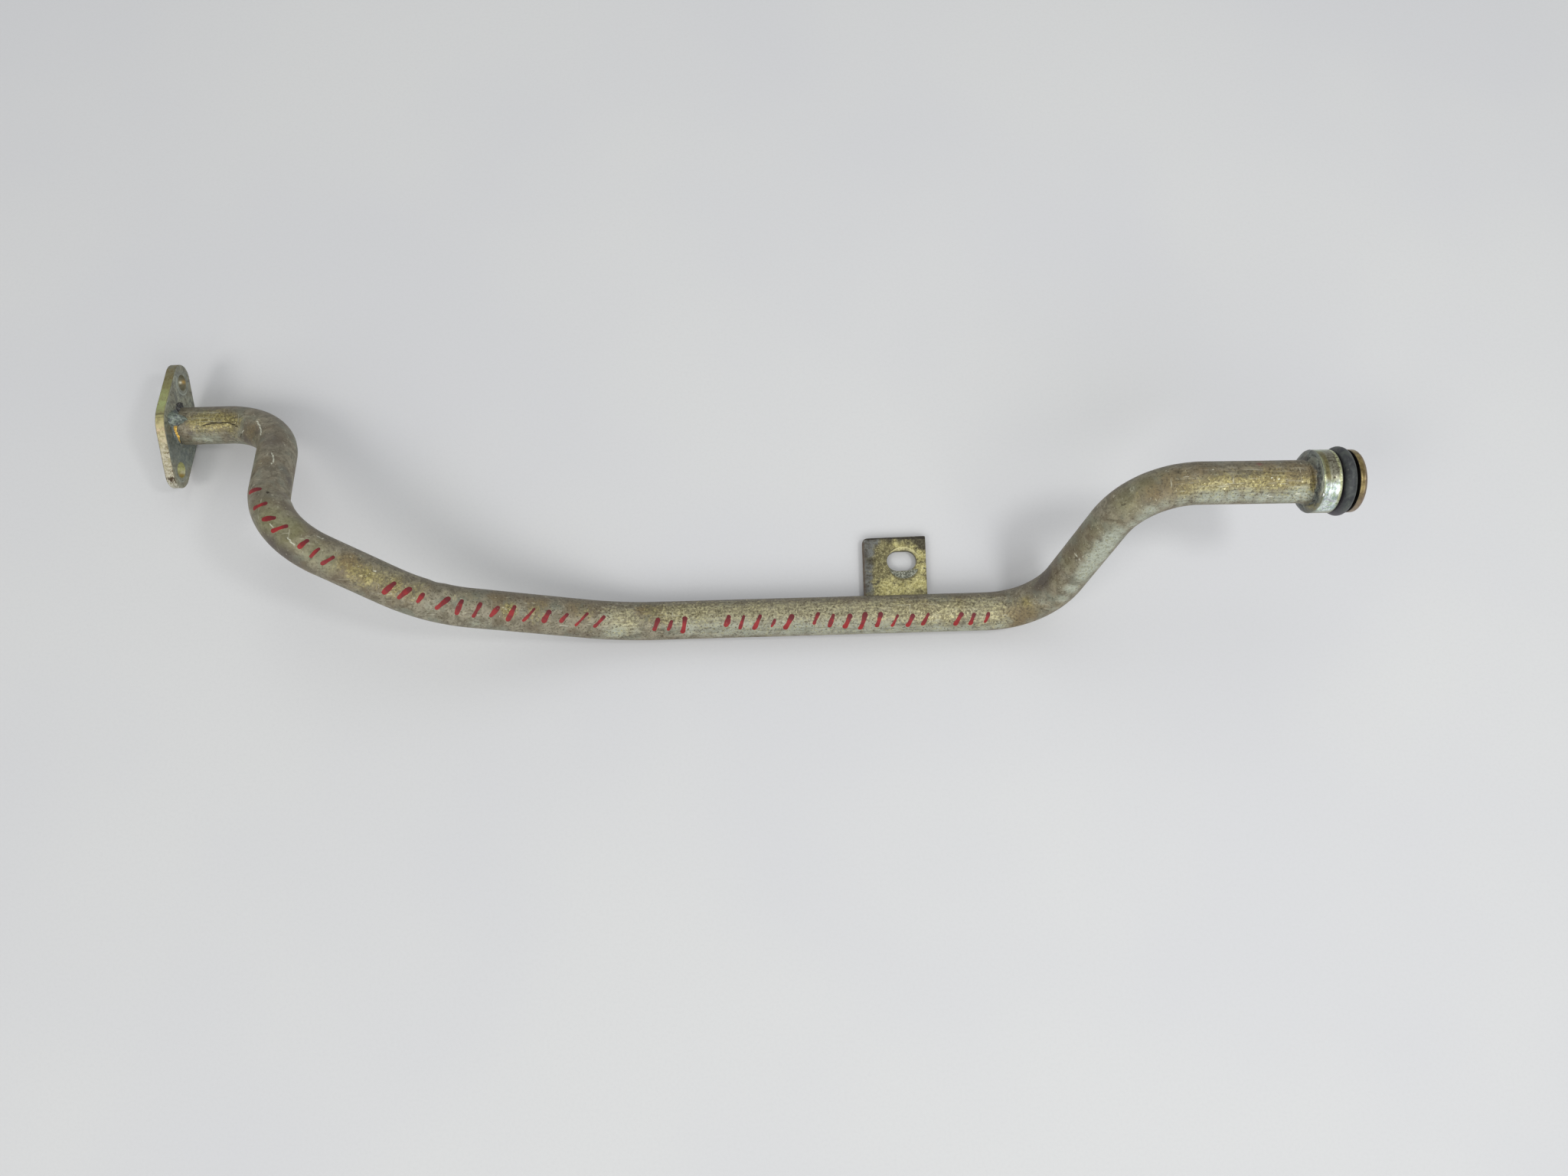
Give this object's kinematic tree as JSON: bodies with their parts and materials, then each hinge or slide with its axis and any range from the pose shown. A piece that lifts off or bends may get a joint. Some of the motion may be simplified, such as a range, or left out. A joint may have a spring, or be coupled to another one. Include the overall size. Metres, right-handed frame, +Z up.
{
  "type": "coolant pipe",
  "caption": "Bent steel coolant pipe with a bolted flange at one end, a ringed plug at the other and a slotted bracket tab between them.",
  "frame": {"origin": "middle of the pipe's footprint, on the surface it lies on", "axes": "+Z up as it lies at rest, +X from the flanged end to the plug end and along the first stub, so the flange faces -X"},
  "size_m": [0.4716, 0.1259, 0.0883],
  "materials": {
    "plated_tube": "aged yellow-passivated zinc plate, dull, with pale corrosion and brown staining",
    "plated_plate": "aged zinc plate, grey-green face and yellow-green rim",
    "plated_tab": "aged yellow-passivated zinc plate with dark edges and a bright bolt print",
    "plated_collar": "turned and plated, with green and violet tints, bronze lip",
    "weld_metal": "lumpy grey bead with a blue-grey sheen and a brass-coloured edge",
    "braze_metal": "dark lumpy braze",
    "seal_rubber": "black, slightly dusty"
  },
  "bodies": {
    "root": {"pipe": "plated_tube", "flange_plate": "plated_plate", "flange_weld": "weld_metal", "bracket_tab": "plated_tab", "bracket_weld": "weld_metal", "end_collar": "plated_collar", "collar_braze": "braze_metal", "o_ring": "seal_rubber"}
  },
  "joints": []
}
